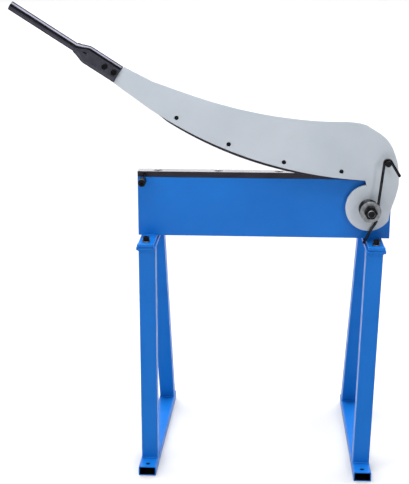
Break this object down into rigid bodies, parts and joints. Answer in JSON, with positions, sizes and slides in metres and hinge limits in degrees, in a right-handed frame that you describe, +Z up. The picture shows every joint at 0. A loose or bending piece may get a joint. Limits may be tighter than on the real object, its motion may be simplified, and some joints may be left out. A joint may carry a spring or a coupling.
{
  "type": "hand lever shear",
  "caption": "Hand lever guillotine shear for sheet metal: curved blade on a pivoted arm with a handle bar, beam table with a ground lower blade, and a stand of welded square tube.",
  "frame": {"origin": "bottom centre of the bounding box, on the floor", "axes": "+X to the operator's right along the beam, towards the pivot; +Y away from the operator; +Z up"},
  "size_m": [0.92, 0.474, 1.1457],
  "materials": {
    "blue_paint": "satin powder coat, blue",
    "grey_paint": "satin powder coat, light grey",
    "blade_steel": "ground tool steel, dark oxide on the front edge",
    "black_steel": "black oxide steel, oiled",
    "black_gloss": "gloss black enamel on steel",
    "zinc": "dull zinc plate",
    "bronze": "bearing bronze"
  },
  "bodies": {
    "frame": {"beam_front_plate": "blue_paint", "beam_rear_plate": "blue_paint", "beam_top_plate": "blue_paint", "beam_bottom_plate": "blue_paint", "beam_end_left": "blue_paint", "beam_end_right": "blue_paint", "pivot_boss": "blue_paint", "lower_blade": "blade_steel", "lower_blade_screw_1": "black_steel", "lower_blade_screw_2": "black_steel", "lower_blade_screw_3": "black_steel", "lower_blade_screw_4": "black_steel", "blade_set_screw": "black_steel", "stop_screw": "black_steel", "stop_sleeve": "black_steel", "pivot_bolt": "black_steel", "pivot_spacer": "zinc", "thrust_washer": "zinc", "spring_hub": "black_steel", "front_washer": "zinc", "pivot_nut": "black_steel", "return_spring": "black_steel", "left_lug": "blue_paint", "left_stand_plate": "blue_paint", "left_front_leg": "blue_paint", "left_rear_leg": "blue_paint", "left_foot": "blue_paint", "left_lug_bolt_front": "black_steel", "left_lug_washer_front": "zinc", "left_lug_bolt_rear": "black_steel", "left_lug_washer_rear": "zinc", "right_lug": "blue_paint", "right_stand_plate": "blue_paint", "right_front_leg": "blue_paint", "right_rear_leg": "blue_paint", "right_foot": "blue_paint", "right_lug_bolt_front": "black_steel", "right_lug_washer_front": "zinc", "right_lug_bolt_rear": "black_steel", "right_lug_washer_rear": "zinc"},
    "arm": {"arm_plate": "grey_paint", "pivot_bush": "bronze", "upper_blade": "blade_steel", "upper_blade_screw_1": "black_steel", "upper_blade_screw_2": "black_steel", "upper_blade_screw_3": "black_steel", "upper_blade_screw_4": "black_steel", "spring_post": "black_steel", "spring_post_nut": "black_steel", "handle_sleeve": "black_gloss", "handle_bar": "black_gloss", "handle_bolt_1": "black_steel", "handle_bolt_2": "black_steel", "handle_nut_1": "black_steel", "handle_nut_2": "black_steel"}
  },
  "joints": [
    {"name": "arm_pivot", "type": "hinge", "parent": "frame", "child": "arm", "pos_m": [0.39203, -0.1226, 0.665], "axis": [0, -1, 0], "range_deg": [-12, 16.5], "stiffness_Nm_per_rad": 23.4, "springref_deg": -61.88, "deforming": ["return_spring"]}
  ]
}
